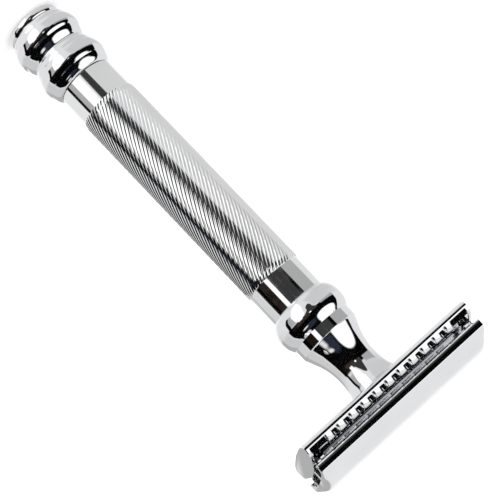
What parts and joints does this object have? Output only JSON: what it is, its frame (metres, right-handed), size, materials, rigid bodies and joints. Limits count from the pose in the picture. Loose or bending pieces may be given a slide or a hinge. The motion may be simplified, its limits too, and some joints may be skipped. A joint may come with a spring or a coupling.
{
  "type": "safety razor",
  "caption": "Twist-to-open double-edge safety razor: turning the ringed end knob lifts a yoke in the head and swings two curved doors open over the blade rest.",
  "frame": {"origin": "centre of the knob's flat end face", "axes": "+Z along the handle from the knob to the head, X along the blade, Y across the blade from edge to edge"},
  "size_m": [0.0434, 0.0248, 0.115],
  "materials": {
    "polished_chrome": "mirror-bright chrome plating",
    "fluted_chrome": "chrome plating over fine spiral flutes",
    "inner_chrome": "chrome plating, hidden or half-hidden inside the head",
    "bright_steel": "bright drawn steel",
    "dark_steel": "hardened steel, oiled",
    "turned_brass": "turned brass",
    "white_nylon": "moulded nylon"
  },
  "bodies": {
    "handle": {"handle_tube": "fluted_chrome", "knob_bush": "turned_brass", "thrust_washer": "white_nylon", "spring_washer": "bright_steel", "rod_guide": "turned_brass", "neck": "polished_chrome", "base_tray": "polished_chrome", "blade_platform": "inner_chrome", "platform_posts": "inner_chrome", "blade_studs": "inner_chrome"},
    "twist_knob": {"knob": "polished_chrome", "end_cap": "polished_chrome", "knob_sleeve": "bright_steel", "drive_nut": "turned_brass", "retaining_ring": "dark_steel"},
    "lifter": {"lift_rod": "bright_steel", "yoke_bar": "bright_steel", "yoke_rivet": "dark_steel", "hinge_brackets": "inner_chrome", "hinge_pins": "dark_steel"},
    "door_front": {"front_door": "polished_chrome"},
    "door_rear": {"rear_door": "polished_chrome"}
  },
  "joints": [
    {"name": "knob_turn", "type": "hinge", "parent": "handle", "child": "twist_knob", "pos_m": [0, 0, 0.01], "axis": [0, 0, 1], "range_deg": [0, 540]},
    {"name": "yoke_lift", "type": "slide", "parent": "handle", "child": "lifter", "axis": [0, 0, 1], "range_m": [0, 0.0017]},
    {"name": "front_door_swing", "type": "hinge", "parent": "lifter", "child": "door_front", "pos_m": [0, -0.0087, 0.1103], "axis": [1, 0, 0], "range_deg": [0, 85]},
    {"name": "rear_door_swing", "type": "hinge", "parent": "lifter", "child": "door_rear", "pos_m": [0, 0.0087, 0.1103], "axis": [-1, 0, 0], "range_deg": [0, 85]}
  ],
  "couplings": [
    {"joint": "knob_turn", "follows": "yoke_lift", "rad_per_m": 5543.9},
    {"joint": "front_door_swing", "follows": "yoke_lift", "rad_per_m": 872.6},
    {"joint": "rear_door_swing", "follows": "yoke_lift", "rad_per_m": 872.6}
  ]
}
